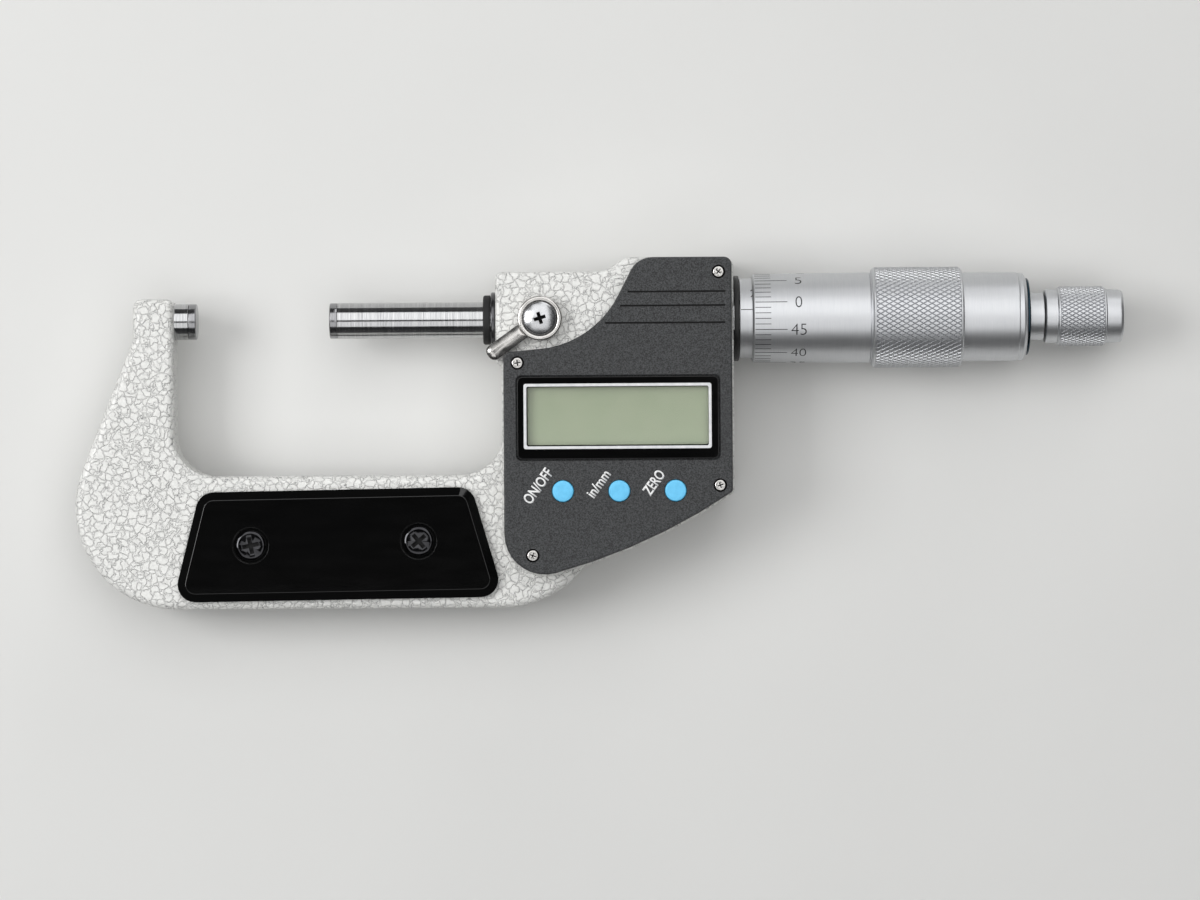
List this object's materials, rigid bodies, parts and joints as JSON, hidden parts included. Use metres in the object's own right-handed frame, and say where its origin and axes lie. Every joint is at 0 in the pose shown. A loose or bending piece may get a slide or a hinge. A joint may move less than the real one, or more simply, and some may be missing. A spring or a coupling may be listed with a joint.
{
  "type": "digital outside micrometer",
  "caption": "Digital outside micrometer with a C-shaped bow, insulating plates, display head, spindle lock, graduated thimble and ratchet stop.",
  "frame": {"origin": "centre of the anvil's measuring face, on the spindle's axis", "axes": "+X along the spindle from the anvil to the ratchet, +Y away from the bow, +Z out of the display face"},
  "size_m": [0.1888, 0.0627, 0.0209],
  "materials": {
    "enamel": "silver-white crackle enamel, semi-gloss",
    "cover_plastic": "fine-textured charcoal",
    "plate_plastic": "glossy black",
    "blackened_screw": "blackened, semi-gloss",
    "window_pane": "clear, glossy",
    "lcd_glass": "grey-green liquid crystal display",
    "button_plastic": "light blue",
    "switch_plastic": "black",
    "circuit_laminate": "green solder mask",
    "black_rubber": "matt black",
    "collar_plastic": "matt black",
    "satin_chrome": "satin chrome plate",
    "ground_steel": "ground",
    "carbide": "lapped cemented carbide",
    "bright_nickel": "bright nickel plate",
    "pad_brass": "plain",
    "ring_anodised": "dark anodised"
  },
  "bodies": {
    "frame": {"frame": "enamel", "anvil": "ground_steel", "anvil_tip": "carbide", "spindle_bush": "ground_steel", "spindle_seal": "black_rubber", "seal_ring": "ground_steel", "front_plate": "plate_plastic", "back_plate": "plate_plastic", "front_plate_screw_1": "blackened_screw", "front_plate_screw_2": "blackened_screw", "back_plate_screw_1": "blackened_screw", "back_plate_screw_2": "blackened_screw", "front_cover": "cover_plastic", "cover_screw_1": "bright_nickel", "cover_screw_2": "bright_nickel", "cover_screw_3": "bright_nickel", "cover_screw_4": "bright_nickel", "display_window": "window_pane", "lcd": "lcd_glass", "lcd_connector": "black_rubber", "circuit_board": "circuit_laminate", "button_switch_1": "switch_plastic", "button_switch_2": "switch_plastic", "button_switch_3": "switch_plastic", "battery": "bright_nickel", "battery_contact": "bright_nickel", "encoder_stator": "circuit_laminate", "inner_sleeve": "ground_steel", "adjusting_nut": "ground_steel", "outer_sleeve": "satin_chrome", "sleeve_collar": "collar_plastic"},
    "rotor": {"encoder_rotor": "circuit_laminate", "rotor_key": "ground_steel"},
    "spindle": {"spindle": "ground_steel", "spindle_tip": "carbide", "thimble": "satin_chrome", "thimble_end_ring": "ring_anodised", "ratchet_stem": "satin_chrome", "ratchet_pawl": "ground_steel", "ratchet_spring": "ground_steel"},
    "ratchet_knob": {"ratchet_knob": "satin_chrome", "ratchet_cap": "satin_chrome"},
    "lock_lever": {"lock_lever": "bright_nickel", "lock_screw": "bright_nickel", "lock_pad": "pad_brass"},
    "button_on_off": {"button_on_off": "button_plastic"},
    "button_unit": {"button_unit": "button_plastic"},
    "button_zero": {"button_zero": "button_plastic"},
    "cap_seal": {"cap_seal": "black_rubber"},
    "battery_cap": {"battery_cap": "cover_plastic"}
  },
  "joints": [
    {"name": "thimble_turn", "type": "hinge", "parent": "frame", "child": "rotor", "pos_m": [0, 0, 0], "axis": [1, 0, 0], "range_deg": [0, 18720]},
    {"name": "spindle_travel", "type": "slide", "parent": "rotor", "child": "spindle", "axis": [1, 0, 0], "range_m": [0, 0.026]},
    {"name": "ratchet_turn", "type": "hinge", "parent": "spindle", "child": "ratchet_knob", "pos_m": [0.16, 0, 0], "axis": [1, 0, 0], "continuous": true},
    {"name": "lock_turn", "type": "hinge", "parent": "frame", "child": "lock_lever", "pos_m": [0.062, 0, 0], "axis": [0, 0, 1], "range_deg": [-45, 0]},
    {"name": "button_on_off_press", "type": "slide", "parent": "frame", "child": "button_on_off", "axis": [0, 0, -1], "range_m": [0, 0.0005], "stiffness_N_per_m": 1500},
    {"name": "button_unit_press", "type": "slide", "parent": "frame", "child": "button_unit", "axis": [0, 0, -1], "range_m": [0, 0.0005], "stiffness_N_per_m": 1500},
    {"name": "button_zero_press", "type": "slide", "parent": "frame", "child": "button_zero", "axis": [0, 0, -1], "range_m": [0, 0.0005], "stiffness_N_per_m": 1500},
    {"name": "battery_cap_lift", "type": "slide", "parent": "frame", "child": "cap_seal", "axis": [0, 0, -1], "range_m": [0, 0.00225]},
    {"name": "battery_cap_turn", "type": "hinge", "parent": "cap_seal", "child": "battery_cap", "pos_m": [0.076, -0.027, 0], "axis": [0, 0, -1], "range_deg": [0, 1080]}
  ],
  "couplings": [
    {"joint": "thimble_turn", "follows": "spindle_travel", "rad_per_m": 12566},
    {"joint": "battery_cap_turn", "follows": "battery_cap_lift", "rad_per_m": 8377.6}
  ]
}
